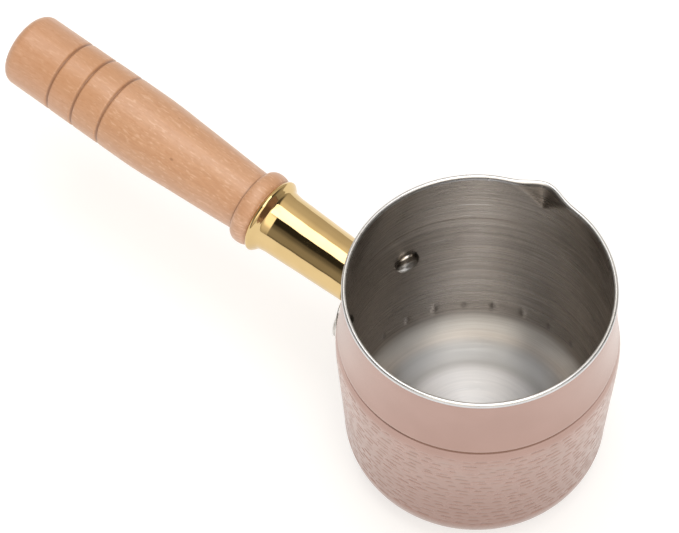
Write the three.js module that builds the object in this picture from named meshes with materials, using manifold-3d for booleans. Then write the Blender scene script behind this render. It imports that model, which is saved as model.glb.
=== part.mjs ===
// A turkish coffee pot (cezve): a spun steel vessel, copper plated outside, with a pressed pouring lip,
// a saddle bracket held by two rivets, a brass ferrule and a turned beech handle drawn up by one long screw.
// Millimetres, +Z up. The origin is the centre of the base's underside and the handle points along -X.
import * as THREE from "three";
import { mergeVertices } from "three/addons/utils/BufferGeometryUtils.js";
import Module from "manifold-3d";

// ---------------------------------------------------------------- driving dimensions

// Vessel, outside
const vesselHeight = 83;
const rimRadius = 40.1; // outside of the lip
const lipHeight = 1.5; // bare steel edge above the plating
const lipStep = 0.25; // height of the plating's cut edge under the lip
const neckInset = 0.2; // the wall just under the lip, inside the rim's radius
const neckCurve = [
  [0.17, 0.6],
  [0.48, 0.24],
]; // shares of the crease's drop above the crease, and of the neck's widening
const creaseDrop = 24.3; // rim to the crease under the neck band
const creaseSwell = 1.65; // outside the rim's radius
const creaseDepth = 0.4;
const creaseHalfWidth = 0.8;
const shoulderDrop = 30.5; // rim to the widest point of the body
const shoulderSwell = 1.95; // outside the rim's radius
const footInset = 0.4; // where the wall meets the rounded corner, inside the rim's radius
const cornerRadius = 14.5;
const wall = 1.2;

// Pouring lip
const spoutAzimuth = 98; // degrees from +X, about +Z
const spoutHalfAngle = 12.5;
const spoutReach = 2.5;
const spoutDrop = 9; // how far below the rim the pressing runs out
const spoutPinch = 1.2; // how sharply the peak falls off to each side
const spoutFade = 1.5; // how sharply it fades downwards

// Handle axis: it crosses the vessel's axis below the rim and rises outwards
const handleCrossDrop = 39.55;
const handleRise = 4.5; // degrees

// Saddle bracket
const plateGap = 0.35;
const plateThickness = 1.3;
const plateHeight = 13.4;
const rivetAngle = 21.6; // degrees each side of the handle
const rivetDrop = 39; // rim to the rivets and the plate's middle
const wingMargin = 4.2; // rivet centre to the wing's end, along the wall
const bossInset = 0.25; // the boss's side, inside the ferrule's
const spigotGap = 0.65; // around the spigot in the ferrule's bore
const spigotFloor = 3; // metal under the screw's head and washer

// Rivets
const rivetShankRadius = 2;
const rivetHeadRadius = 4.1;
const rivetHeadHeight = 1.9;
const rivetTailRadius = 3.4;
const rivetTailHeight = 1.2;

// Ferrule, a hollow cone that flares into a lip
const ferruleLength = 34.6;
const ferruleNearRadius = 8.85;
const ferruleWaistRadius = 9.85;
const ferruleLipRadius = 12.2;
const ferruleWall = 1.2;
const lipLength = 6;
const flareShape = [
  [0.4, 0.17],
  [0.57, 0.5],
  [0.75, 0.94],
  [0.87, 1],
  [1, 0.79],
]; // shares of the lip's length, and of the flare from waist to lip

// Wooden handle
const handleLength = 97.5; // collar face to the far end
const collarRadius = 12.3;
const collarLength = 6;
const collarBeadFrom = -60; // degrees, where the bead's curve leaves the collar's face
const gripNeckRadius = 9.95;
const gripRadius = 12.2; // at its fullest
const gripEndRadius = 12.1;
const gripSwell = [
  [0.41, 0.42],
  [0.61, 0.69],
  [0.81, 0.96],
  [1, 1],
]; // shares of the way to the fullest point, and of the swell from neck to fullest
const fullestAt = 53; // from the collar face
const endRounding = 4.6;
const endDome = 0.7;
const grooveFromEnd = [19.6, 29.1, 39.4];
const grooveHalfWidth = 0.55;
const grooveDepth = 0.55;
const tenonLength = 12;
const boreRunout = 3; // past the hardware in the bore

// Hardware on the handle's axis
const screwRadius = 2.5;
const screwHeadRadius = 4.4;
const screwHeadHeight = 2.5;
const screwLength = 46;
const screwHeadRounding = 0.8;
const screwTipTaper = 0.8;
const screwSocketRadius = 1.4;
const screwSocketDepth = 1.2;
const lockWasherThickness = 1.1;
const lockWasherRadius = 4.2;
const lockWasherSplit = 0.8;
const lockWasherSplitTilt = 20; // degrees
const insertRadius = 4;
const insertLength = 22;
const insertFlangeRadius = 5;
const insertFlangeThickness = 1.2;

// Clearances
const partGap = 0.3; // between pieces that seat on each other
const holeGap = 0.3; // around shanks and bores
const runPast = 12; // what is cut or trimmed runs this far past the cut

const aroundVessel = 64;
const aroundHandle = 36;
const aroundSmall = 20;

// ---------------------------------------------------------------- helpers

const wasm = await Module();
wasm.setup();

const degrees = Math.PI / 180;

// A closed three.js geometry as a manifold-3d solid.
function solid(geometry) {
  const bare = geometry.clone();
  bare.deleteAttribute("normal");
  bare.deleteAttribute("uv");
  const merged = mergeVertices(bare, 1e-4);
  return new wasm.Manifold(
    new wasm.Mesh({
      numProp: 3,
      vertProperties: new Float32Array(merged.attributes.position.array),
      triVerts: new Uint32Array(merged.index.array),
    }),
  );
}

// A manifold-3d solid as a three.js geometry.
function geometryOf(made) {
  const mesh = made.getMesh();
  const geometry = new THREE.BufferGeometry();
  geometry.setAttribute("position", new THREE.BufferAttribute(mesh.vertProperties, 3));
  geometry.setIndex(new THREE.BufferAttribute(mesh.triVerts, 1));
  geometry.computeVertexNormals();
  return geometry;
}

// Lathe about +Z from [radius, height] pairs listed upwards along the outside.
function turned(profile, segments) {
  const points = profile.map(([radius, height]) => new THREE.Vector2(radius, height));
  const geometry = new THREE.LatheGeometry(points, segments);
  geometry.rotateX(Math.PI / 2);
  return geometry;
}

// Points of a circular or elliptical arc in a profile, both ends included.
function arc(centre, radii, from, to, steps) {
  const points = [];
  for (let i = 0; i <= steps; i++) {
    const angle = (from + ((to - from) * i) / steps) * degrees;
    points.push([centre[0] + radii[0] * Math.cos(angle), centre[1] + radii[1] * Math.sin(angle)]);
  }
  return points;
}

// A smooth curve through [radius, height] pairs, as more such pairs.
function smooth(knots, steps) {
  const curve = new THREE.SplineCurve(knots.map(([radius, height]) => new THREE.Vector2(radius, height)));
  return curve.getPoints(steps).map((point) => [point.x, point.y]);
}

// Cylinder along +Z between two heights.
function rod(radius, from, to, segments) {
  const geometry = new THREE.CylinderGeometry(radius, radius, to - from, segments);
  geometry.rotateX(Math.PI / 2);
  geometry.translate(0, 0, (from + to) / 2);
  return geometry;
}

// A geometry drawn along +Z from the vessel's axis, laid on the handle's axis.
function alongHandle(geometry) {
  geometry.rotateY((handleRise - 90) * degrees);
  geometry.translate(0, 0, vesselHeight - handleCrossDrop);
  return geometry;
}

function material(color, roughness, metalness) {
  return new THREE.MeshStandardMaterial({ color, roughness, metalness });
}

const part = new THREE.Group();

function add(name, geometry, look) {
  const mesh = new THREE.Mesh(geometry, look);
  mesh.name = name;
  part.add(mesh);
}

// ---------------------------------------------------------------- sizes that follow from others

const neckRadius = rimRadius - neckInset; // outside, just under the lip
const creaseRadius = rimRadius + creaseSwell;
const shoulderRadius = rimRadius + shoulderSwell;
const footRadius = rimRadius - footInset;
const bossRadius = ferruleNearRadius - bossInset;
const spigotRadius = ferruleNearRadius - ferruleWall - spigotGap;

// ---------------------------------------------------------------- places along the handle's axis

// Distance along the axis at which a face of a given radius, square to it, clears a given reach from
// the vessel's axis.
function clearOf(reach, faceRadius) {
  return (reach + faceRadius * Math.sin(handleRise * degrees)) / Math.cos(handleRise * degrees);
}

const screwStart = clearOf(shoulderRadius + plateGap, screwHeadRadius);
const pocketEnd = screwStart + screwHeadHeight + lockWasherThickness + 2 * partGap;
const spigotEnd = pocketEnd + spigotFloor;
const ferruleStart = clearOf(shoulderRadius + plateGap + plateThickness + partGap, ferruleNearRadius);
const bossFace = ferruleStart - partGap;
const ferruleEnd = ferruleStart + ferruleLength;
const collarFace = ferruleEnd + partGap;
const handleEnd = collarFace + handleLength;
const tenonStart = collarFace - tenonLength;
const insertEnd = tenonStart + insertLength;
const screwEnd = screwStart + screwHeadHeight + screwLength;

// ---------------------------------------------------------------- vessel

const creaseHeight = vesselHeight - creaseDrop;
const plateTop = vesselHeight - lipHeight;

// The outside of the wall from the corner up to the crease, pushed out by a distance.
function bodySide(outwards) {
  const knots = [
    [footRadius, cornerRadius],
    [(footRadius + shoulderRadius) / 2, (cornerRadius + vesselHeight - shoulderDrop) / 2],
    [shoulderRadius, vesselHeight - shoulderDrop],
    [creaseRadius, creaseHeight - creaseHalfWidth],
  ];
  return smooth(knots, 6).map(([radius, height]) => [radius + outwards, height]);
}

// The neck band from just above the crease up to the lip.
function neckSide(outwards) {
  const widening = creaseRadius - neckRadius;
  const between = neckCurve.map(([up, out]) => [neckRadius + out * widening, creaseHeight + up * creaseDrop]);
  const knots = [[creaseRadius, creaseHeight + creaseHalfWidth], ...between, [neckRadius, plateTop]];
  return smooth(knots, 4).map(([radius, height]) => [radius + outwards, height]);
}

// Outward push of the pouring lip at an azimuth, as a share of its reach: a rounded peak with a
// slight pinch on each side.
function spoutShare(azimuth) {
  const across = Math.abs(azimuth - spoutAzimuth) / spoutHalfAngle;
  return (1 - across ** 2) * Math.exp(-spoutPinch * across ** 2);
}

function pressSpout(geometry) {
  const position = geometry.attributes.position;
  for (let i = 0; i < position.count; i++) {
    const x = position.getX(i);
    const y = position.getY(i);
    const drop = vesselHeight - position.getZ(i);
    const radius = Math.hypot(x, y);
    if (drop < spoutDrop && radius > rimRadius / 2) {
      const azimuth = Math.atan2(y, x) / degrees;
      const fade = Math.cos((Math.PI / 2) * (drop / spoutDrop)) ** spoutFade;
      const grown = (radius + spoutReach * spoutShare(azimuth) * fade) / radius;
      position.setX(i, x * grown);
      position.setY(i, y * grown);
    }
  }
}

function vesselProfile() {
  const outerCorner = arc([footRadius - cornerRadius, cornerRadius], [cornerRadius, cornerRadius], -90, 0, 5);
  const innerCornerRadius = cornerRadius - wall;
  const innerCorner = arc(
    [footRadius - cornerRadius, cornerRadius],
    [innerCornerRadius, innerCornerRadius],
    0,
    -90,
    4,
  );
  const lipWall = rimRadius - (neckRadius - wall);
  const lipCentre = [rimRadius - lipWall / 2, vesselHeight - lipWall / 2];
  return [
    [0, 0],
    ...outerCorner.slice(0, -1),
    ...bodySide(0),
    [creaseRadius - creaseDepth, creaseHeight],
    ...neckSide(0),
    [rimRadius, plateTop + lipStep],
    ...arc(lipCentre, [lipWall / 2, lipWall / 2], 0, 180, 4),
    ...neckSide(-wall).reverse(),
    [creaseRadius - creaseDepth - wall, creaseHeight],
    ...bodySide(-wall).reverse(),
    ...innerCorner.slice(1),
    [0, wall],
  ];
}

const rivetHeight = vesselHeight - rivetDrop;

// A geometry drawn along +Z from the vessel's axis, laid on the radial line of one rivet.
function atRivet(geometry, side) {
  geometry.rotateY(-90 * degrees);
  geometry.rotateZ(side * rivetAngle * degrees);
  geometry.translate(0, 0, rivetHeight);
  return geometry;
}

const rivetSides = [1, -1];
const rivetHoleRadius = rivetShankRadius + holeGap;

function rivetHole(side) {
  const from = shoulderRadius - runPast;
  const to = shoulderRadius + plateThickness + runPast;
  return solid(atRivet(rod(rivetHoleRadius, from, to, aroundSmall), side));
}

const vesselGeometry = turned(vesselProfile(), aroundVessel);
pressSpout(vesselGeometry);
let vesselSolid = solid(vesselGeometry);
for (const side of rivetSides) {
  vesselSolid = vesselSolid.subtract(rivetHole(side));
}
add("vessel", geometryOf(vesselSolid), material(0xc39c8d, 0.32, 1.0));

// ---------------------------------------------------------------- saddle bracket

// The radius of the wall's outside at a height on the body, read off its side curve, whose ends go
// on straight up and down.
function wallRadiusAt(height) {
  const side = bodySide(0);
  const held = Math.min(Math.max(height, side[0][1]), side.at(-1)[1]);
  const above = Math.max(1, side.findIndex((point) => point[1] >= held));
  const [low, high] = [side[above - 1], side[above]];
  const share = (held - low[1]) / (high[1] - low[1]);
  return low[0] + share * (high[0] - low[0]);
}

// Points that follow the wall's outside between two heights, at a distance from it.
function besideWall(outwards, from, to) {
  const steps = 8;
  const points = [];
  for (let i = 0; i <= steps; i++) {
    const height = from + ((to - from) * i) / steps;
    points.push([wallRadiusAt(height) + outwards, height]);
  }
  return points;
}

const plateSpan = 2 * (shoulderRadius * Math.sin(rivetAngle * degrees) + wingMargin);

// A band around the whole body that follows its side, one plate thick.
function plateBand() {
  const margin = 1;
  const low = rivetHeight - plateHeight / 2 - margin;
  const high = rivetHeight + plateHeight / 2 + margin;
  const inside = besideWall(plateGap, low, high);
  const outside = inside.map(([radius, height]) => [radius + plateThickness, height]);
  const profile = [...outside, ...inside.reverse(), outside[0]];
  return solid(turned(profile, aroundVessel));
}

// A stadium outline in the plane across the handle, pushed through one side of the band.
function plateOutline() {
  const halfStraight = plateSpan / 2 - plateHeight / 2;
  const shape = new THREE.Shape();
  shape.absarc(halfStraight, 0, plateHeight / 2, -Math.PI / 2, Math.PI / 2, false);
  shape.absarc(-halfStraight, 0, plateHeight / 2, Math.PI / 2, (3 * Math.PI) / 2, false);
  const depth = shoulderRadius;
  const geometry = new THREE.ExtrudeGeometry(shape, { depth, bevelEnabled: false, curveSegments: 14 });
  geometry.rotateX(Math.PI / 2);
  geometry.rotateZ(-Math.PI / 2);
  geometry.translate(-shoulderRadius / 2, 0, rivetHeight);
  return solid(geometry);
}

// The room that the bracket leaves for the body, over the boss's height and more.
function bodyRoom() {
  const axisHeight = vesselHeight - handleCrossDrop;
  const low = axisHeight - bossRadius - plateHeight / 4;
  const high = axisHeight + bossRadius + plateHeight / 2;
  const side = besideWall(plateGap, low, high);
  return solid(turned([[0, low], ...side, [0, high]], aroundVessel));
}

const pocketRadius = Math.max(lockWasherRadius, screwHeadRadius) + holeGap;

function bracket() {
  const inside = shoulderRadius - runPast;
  const boss = solid(alongHandle(rod(bossRadius, inside, bossFace, aroundHandle)));
  const spigot = solid(alongHandle(rod(spigotRadius, inside, spigotEnd, aroundHandle)));
  const pocket = solid(alongHandle(rod(pocketRadius, inside - runPast, pocketEnd, aroundSmall)));
  const bore = solid(alongHandle(rod(screwRadius + holeGap, inside, spigotEnd + runPast, aroundSmall)));
  let made = plateBand().intersect(plateOutline()).add(boss).add(spigot);
  made = made.subtract(bodyRoom()).subtract(pocket).subtract(bore);
  for (const side of rivetSides) {
    made = made.subtract(rivetHole(side));
  }
  return made;
}

add("handle_bracket", geometryOf(bracket()), material(0xc9c9c6, 0.28, 1.0));

// ---------------------------------------------------------------- rivets

// One rivet along +Z from the vessel's axis: a domed head inside the wall and a flatter one on the wing.
function rivet() {
  const wallOutside = wallRadiusAt(rivetHeight);
  const curveRise = rivetHeadRadius ** 2 / (2 * (wallOutside - wall));
  const headFace = wallOutside - wall - curveRise - partGap;
  const tailFace = wallOutside + plateGap + plateThickness + partGap;
  const profile = [
    [0, headFace - rivetHeadHeight],
    ...arc([0, headFace], [rivetHeadRadius, rivetHeadHeight], -90, 0, 6).slice(1),
    [rivetShankRadius, headFace],
    [rivetShankRadius, tailFace],
    ...arc([0, tailFace], [rivetTailRadius, rivetTailHeight], 0, 90, 5).slice(0, -1),
    [0, tailFace + rivetTailHeight],
  ];
  return turned(profile, aroundSmall);
}

const rivetNames = ["rivet_left", "rivet_right"];
rivetSides.forEach((side, i) => {
  add(rivetNames[i], atRivet(rivet(), side), material(0xd4d4d2, 0.18, 1.0));
});

// ---------------------------------------------------------------- ferrule

function ferrule() {
  const lipStart = ferruleEnd - lipLength;
  const flare = ferruleLipRadius - ferruleWaistRadius;
  const lip = flareShape.map(([along, out]) => [
    ferruleWaistRadius + out * flare,
    lipStart + along * lipLength,
  ]);
  const outside = smooth([[ferruleWaistRadius, lipStart], ...lip], 9);
  const boreFar = ferruleWaistRadius - ferruleWall;
  const boreNear = ferruleNearRadius - ferruleWall;
  const profile = [
    [boreNear, ferruleStart],
    [ferruleNearRadius, ferruleStart],
    ...outside,
    [boreFar, ferruleEnd],
    [boreFar, lipStart],
    [boreNear, ferruleStart],
  ];
  return alongHandle(turned(profile, aroundHandle));
}

add("ferrule", ferrule(), material(0xd9a94e, 0.12, 1.0));

// ---------------------------------------------------------------- wooden handle

function tenonRadius() {
  const share = (tenonStart - ferruleStart) / (ferruleEnd - lipLength - ferruleStart);
  const outside = ferruleNearRadius + share * (ferruleWaistRadius - ferruleNearRadius);
  return Math.min(outside, ferruleWaistRadius) - ferruleWall - partGap;
}

// The grip's swelling side from the collar to the rounded end, without its grooves.
function gripSide() {
  const swell = gripRadius - gripNeckRadius;
  const knots = [
    [gripNeckRadius, collarFace + collarLength + partGap],
    ...gripSwell.map(([along, out]) => [gripNeckRadius + out * swell, collarFace + along * fullestAt]),
    [(gripRadius + gripEndRadius) / 2, collarFace + (fullestAt + handleLength - endRounding) / 2],
    [gripEndRadius, handleEnd - endRounding],
  ];
  return smooth(knots, 13);
}

// Cuts the V grooves into the grip's side.
function grooved(side) {
  const centres = grooveFromEnd.map((distance) => handleEnd - distance);
  const nearest = 1.6 * grooveHalfWidth; // of the side's own points to a groove's centre
  const clear = side.filter(([, along]) => centres.every((c) => Math.abs(along - c) > nearest));
  const radiusAt = (along) => {
    const next = side.findIndex((point) => point[1] >= along);
    const share = (along - side[next - 1][1]) / (side[next][1] - side[next - 1][1]);
    return side[next - 1][0] + share * (side[next][0] - side[next - 1][0]);
  };
  const cuts = centres.flatMap((c) => [
    [radiusAt(c - grooveHalfWidth), c - grooveHalfWidth],
    [radiusAt(c) - grooveDepth, c],
    [radiusAt(c + grooveHalfWidth), c + grooveHalfWidth],
  ]);
  return [...clear, ...cuts].sort((a, b) => a[1] - b[1]);
}

function woodHandle() {
  const bore = insertRadius + partGap;
  const flangeSeat = insertFlangeThickness + partGap;
  const recess = insertFlangeRadius + partGap;
  const collarBead = arc(
    [gripNeckRadius, collarFace + collarLength / 2],
    [collarRadius - gripNeckRadius, collarLength / 2],
    collarBeadFrom,
    90,
    5,
  );
  const end = arc(
    [gripEndRadius - endRounding, handleEnd - endRounding],
    [endRounding, endRounding - endDome],
    0,
    90,
    4,
  );
  const boreEnd = Math.max(screwEnd, insertEnd) + boreRunout;
  const profile = [
    [0, boreEnd],
    [screwRadius + holeGap, boreEnd],
    [screwRadius + holeGap, insertEnd + partGap],
    [bore, insertEnd + partGap],
    [bore, tenonStart + flangeSeat],
    [recess, tenonStart + flangeSeat],
    [recess, tenonStart],
    [tenonRadius(), tenonStart],
    [tenonRadius(), collarFace],
    ...collarBead,
    ...grooved(gripSide()),
    ...end.slice(1),
    [0, handleEnd],
  ];
  return alongHandle(turned(profile, aroundHandle));
}

add("wood_handle", woodHandle(), material(0xcd9b73, 0.6, 0.0));

// ---------------------------------------------------------------- screw, washer and insert

function screw() {
  const headTop = screwStart + screwHeadHeight;
  const profile = [
    [0, screwStart + screwSocketDepth],
    [screwSocketRadius, screwStart + screwSocketDepth],
    [screwSocketRadius, screwStart],
    [screwHeadRadius - screwHeadRounding, screwStart],
    [screwHeadRadius, screwStart + screwHeadRounding],
    [screwHeadRadius, headTop],
    [screwRadius, headTop],
    [screwRadius, screwEnd - screwTipTaper],
    [screwRadius - screwTipTaper, screwEnd],
    [0, screwEnd],
  ];
  return alongHandle(turned(profile, aroundSmall));
}

// A split spring washer: a ring with a slot through one side.
function lockWasher() {
  const from = pocketEnd - partGap - lockWasherThickness;
  const ring = solid(rod(lockWasherRadius, from, from + lockWasherThickness, aroundSmall));
  const eye = solid(rod(screwRadius + holeGap, from - runPast, from + runPast, aroundSmall));
  const split = new THREE.BoxGeometry(lockWasherSplit, 2 * lockWasherRadius, 2 * lockWasherRadius);
  split.rotateY(lockWasherSplitTilt * degrees);
  split.translate(0, lockWasherRadius, from + lockWasherThickness / 2);
  const made = ring.subtract(eye).subtract(solid(split));
  return alongHandle(geometryOf(made));
}

function threadedInsert() {
  const inner = screwRadius + holeGap;
  const profile = [
    [inner, tenonStart],
    [insertFlangeRadius, tenonStart],
    [insertFlangeRadius, tenonStart + insertFlangeThickness],
    [insertRadius, tenonStart + insertFlangeThickness],
    [insertRadius, insertEnd],
    [inner, insertEnd],
    [inner, tenonStart],
  ];
  return alongHandle(turned(profile, aroundSmall));
}

add("handle_screw", screw(), material(0xb9babc, 0.3, 1.0));
add("lock_washer", lockWasher(), material(0xa9aaac, 0.35, 1.0));
add("threaded_insert", threadedInsert(), material(0xc7a35c, 0.35, 1.0));

export default part;
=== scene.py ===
"""A turkish coffee pot (cezve): copper-plated vessel, steel bracket, brass ferrule and beech handle."""

import math

import bpy
import numpy as np
from mathutils import Matrix, Vector


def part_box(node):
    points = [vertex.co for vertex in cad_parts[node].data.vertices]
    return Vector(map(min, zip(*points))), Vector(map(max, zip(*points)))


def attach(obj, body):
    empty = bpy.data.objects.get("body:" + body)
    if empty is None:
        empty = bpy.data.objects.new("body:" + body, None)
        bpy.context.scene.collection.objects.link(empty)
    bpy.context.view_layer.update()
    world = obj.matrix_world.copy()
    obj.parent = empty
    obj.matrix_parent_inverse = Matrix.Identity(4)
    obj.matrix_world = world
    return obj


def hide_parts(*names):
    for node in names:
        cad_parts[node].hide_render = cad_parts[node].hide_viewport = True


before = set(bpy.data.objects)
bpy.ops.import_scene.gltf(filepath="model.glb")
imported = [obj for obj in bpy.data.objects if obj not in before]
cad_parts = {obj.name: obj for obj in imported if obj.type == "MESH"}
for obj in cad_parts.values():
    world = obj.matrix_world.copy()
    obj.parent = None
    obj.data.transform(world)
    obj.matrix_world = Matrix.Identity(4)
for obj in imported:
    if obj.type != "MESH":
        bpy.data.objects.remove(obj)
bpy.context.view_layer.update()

MM = 0.001
rng = np.random.default_rng(7)

# ---------------------------------------------------------------- sizes, in millimetres

# Vessel, outside. Heights hang from the rim, which the frame gives.
RIM_RADIUS = 40.1
LIP_HEIGHT = 1.5
LIP_STEP = 0.25
NECK_RADIUS = 39.9
CREASE_DROP = 24.3
CREASE_RADIUS = 41.75
CREASE_DEPTH = 0.34
CREASE_HALF_WIDTH = 0.8
INNER_CREASE_DEPTH = 0.1
ROLL_DEPTH = 0.4
ROLL_REACH = 1.7
INNER_ROLL = 0.35  # share of the outside's roll that shows inside
SHOULDER_DROP = 30.5
SHOULDER_RADIUS = 42.05
FOOT_RADIUS = 39.7
CORNER_RADIUS = 14.5
WALL = 1.2
BOX_MARGIN = 0.04  # keeps the curved side inside the CAD's faceted one

# Pouring lip
SPOUT_AZIMUTH = 98
SPOUT_HALF_ANGLE = 12.5
SPOUT_REACH = 2.45
SPOUT_DROP = 9.5
SPOUT_PINCH = 1.2

# Hammered band
BAND_FROM_CREASE = 4.2
BAND_BELOW_CORNER = 1.5
ROW_PITCH = 2.35
DASH_LENGTH = (2.0, 4.4)
DASH_SPACE = (1.0, 2.6)
DASH_HALF_WIDTH = 0.29
DASH_DEPTH = 0.21
DASH_SOFTNESS = 1.3
DASH_REACH = (1.0, 1.2)  # how far a dash is felt past its end and across
FACET_DEPTH = 0.035
FACET_WAVES = ((31, 0.9), (43, -1.3), (58, 0.6), (23, 1.7), (71, -0.4))  # waves round, rise per mm
ROW_START = 3
ROW_END_GAP = 0.5
LEVEL_SPREAD = 0.33
TILT_SPREAD = 0.03
FAINTEST_DASH = 0.55
NICK_SHARE = 0.2
NICK_HALF_LENGTH = 0.3
NICK_TILT = 1.2
NICK_DEPTH = 0.8

# Dents pressed through just above the inner corner
DENT_COUNT = 26
DENT_HEIGHT = 14.2
DENT_DEPTH = 0.2
DENT_REACH = (0.8, 1.7)  # around, up
DENT_TURN = 6  # degrees past the pouring lip

# The middle of the painted highlight ring in the inner corner
CORNER_HIGHLIGHT_HEIGHT = 7.2

# How fine the vessel's mesh is
VESSEL_SEGMENTS = 600
BODY_STEP = 0.22
NECK_STEP = 0.45
INSIDE_STEP = 0.7

# Handle axis
HANDLE_CROSS_DROP = 39.55
HANDLE_RISE = math.radians(4.5)

# Bracket and rivets
PLATE_GAP = 0.35
PLATE_THICKNESS = 1.3
PLATE_HEIGHT = 13.4
PLATE_EDGE = 0.45
BOSS_RADIUS = 8.6
BOSS_DEPTH = 7.2  # back into the plate, where it is cut to the body's curve
BOSS_FILLET = 0.5
SPIGOT_RADIUS = 7.0
POCKET_RADIUS = 4.7
POCKET_FLOOR = 3.0
BORE_RADIUS = 2.8
RIVET_ANGLE = 21.6
RIVET_DROP = 39
WING_MARGIN = 4.2
RIVET_SHANK_RADIUS = 2.0
RIVET_HEAD_RADIUS = 4.1
RIVET_HEAD_HEIGHT = 1.9
RIVET_TAIL_RADIUS = 3.4
RIVET_TAIL_HEIGHT = 1.2

# Ferrule
FERRULE_NEAR_RADIUS = 8.85
FERRULE_WAIST_RADIUS = 9.85
FERRULE_LIP_RADIUS = 12.2
FERRULE_WALL = 1.2
FERRULE_LIP_LENGTH = 6

# Wooden handle
COLLAR_RADIUS = 12.3
COLLAR_LENGTH = 6
BEAD_FACE_RADIUS = 10.9
BEAD_NOTCH = 0.35
NOTCH_GAP = 0.05
TENON_LENGTH = 12
TENON_RADIUS = 8.1
GRIP_NECK_RADIUS = 9.95
GRIP_RADIUS = 12.2
GRIP_END_RADIUS = 12.1
FULLEST_AT = 53
END_ROUNDING = 4.6
END_DOME = 0.7
GROOVES_FROM_END = (19.6, 29.1, 39.4)
GROOVE_HALF_WIDTH = 0.7
GROOVE_DEPTH = 0.75
HANDLE_BORE = 4.3
HANDLE_BORE_DEPTH = 14.7
RECESS_RADIUS = 5.3
RECESS_DEPTH = 1.5
SCREW_ROOM = 12

ROUND = 2 * np.pi * SHOULDER_RADIUS  # length of a row of dashes

# ---------------------------------------------------------------- places from the frame

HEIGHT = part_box("vessel")[1].z / MM
CREASE_HEIGHT = HEIGHT - CREASE_DROP
SHOULDER_HEIGHT = HEIGHT - SHOULDER_DROP
RIVET_HEIGHT = HEIGHT - RIVET_DROP
HANDLE_DIRECTION = np.array([-math.cos(HANDLE_RISE), 0, math.sin(HANDLE_RISE)])
HANDLE_SIDE = np.array([0, -1, 0])
HANDLE_UP = np.cross(HANDLE_DIRECTION, HANDLE_SIDE)
HANDLE_ORIGIN = np.array([0, 0, HEIGHT - HANDLE_CROSS_DROP])


def span_on_handle(node):
    """Where a CAD node starts and ends along the handle's axis, in millimetres from the vessel's axis."""
    points = np.array([v.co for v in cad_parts[node].data.vertices]) / MM
    along = (points - HANDLE_ORIGIN) @ HANDLE_DIRECTION
    return float(along.min()), float(along.max())


FERRULE_START, FERRULE_END = span_on_handle("ferrule")
TENON_START, HANDLE_END = span_on_handle("wood_handle")
COLLAR_FACE = TENON_START + TENON_LENGTH
SPIGOT_END = span_on_handle("handle_bracket")[1]

# ---------------------------------------------------------------- mesh helpers


def smooth(knots, steps):
    """Points on a uniform Catmull-Rom curve through the knots."""
    knots = np.array(knots, float)
    padded = np.vstack([knots[:1], knots, knots[-1:]])
    points = []
    for i in range(steps + 1):
        place = (len(knots) - 1) * i / steps
        k = min(int(place), len(knots) - 2)
        t = place - k
        a, b, c, d = padded[k : k + 4]
        v0, v1 = (c - a) / 2, (d - b) / 2
        points.append((2 * b - 2 * c + v0 + v1) * t**3 + (-3 * b + 3 * c - 2 * v0 - v1) * t**2 + v0 * t + b)
    return [tuple(p) for p in points]


def arc(centre, radii, start, end, steps):
    """Points of an elliptical arc in a profile, angles in degrees, both ends included."""
    angles = np.radians(np.linspace(start, end, steps + 1))
    return [(centre[0] + radii[0] * math.cos(a), centre[1] + radii[1] * math.sin(a)) for a in angles]


def resampled(points, step):
    """The same outline with its points about a step apart."""
    points = np.array(points, float)
    gone = np.concatenate([[0], np.cumsum(np.linalg.norm(np.diff(points, axis=0), axis=1))])
    places = np.linspace(0, gone[-1], max(2, round(gone[-1] / step) + 1))
    return [(np.interp(s, gone, points[:, 0]), np.interp(s, gone, points[:, 1])) for s in places]


def mesh_object(name, vertices, faces):
    """A smooth-shaded object in the scene, from vertices in millimetres."""
    mesh = bpy.data.meshes.new(name)
    mesh.from_pydata([tuple(v) for v in np.asarray(vertices) * MM], [], faces)
    mesh.validate()
    mesh.shade_smooth()
    obj = bpy.data.objects.new(name, mesh)
    bpy.context.scene.collection.objects.link(obj)
    return obj


def lathe(name, profile, segments, place, shape=None):
    """Turns a profile of (radius, along) points, which starts and ends on the axis or closes on itself.
    place maps local x, y, along to the part's frame; shape may move the local points first."""
    profile = np.array(profile, float)
    closed = profile[0][0] > 1e-6
    rings = profile if closed else profile[1:-1]
    angles = 2 * np.pi * np.arange(segments) / segments
    radius, along = rings[:, 0][:, None], rings[:, 1][:, None]
    grid = np.stack([radius * np.cos(angles), radius * np.sin(angles), along + 0 * angles], axis=-1)
    if shape:
        grid = shape(grid)
    vertices = list(place(grid.reshape(-1, 3)))
    count = len(rings)
    faces = []
    for i in range(count if closed else count - 1):
        a, b = i * segments, ((i + 1) % count) * segments
        for j in range(segments):
            k = (j + 1) % segments
            faces.append((a + j, a + k, b + k, b + j))
    if not closed:
        first, last = len(vertices), len(vertices) + 1
        ends = np.array([[0, 0, profile[0][1]], [0, 0, profile[-1][1]]])
        vertices += list(place(ends))
        top = (count - 1) * segments
        for j in range(segments):
            k = (j + 1) % segments
            faces.append((first, k, j))
            faces.append((last, top + j, top + k))
    return mesh_object(name, vertices, faces)


def widened(grid, scale):
    """The grid with each point's distance from its axis scaled."""
    return grid * np.stack([scale, scale, np.ones_like(scale)], axis=-1)


def upright(points):
    """Local x, y, along are the part's x, y, z."""
    return points


def on_handle(points):
    """Local x, y and along the handle to the part's frame."""
    x, y, along = points[:, 0:1], points[:, 1:2], points[:, 2:3]
    return HANDLE_ORIGIN + along * HANDLE_DIRECTION + x * HANDLE_SIDE + y * HANDLE_UP


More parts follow.
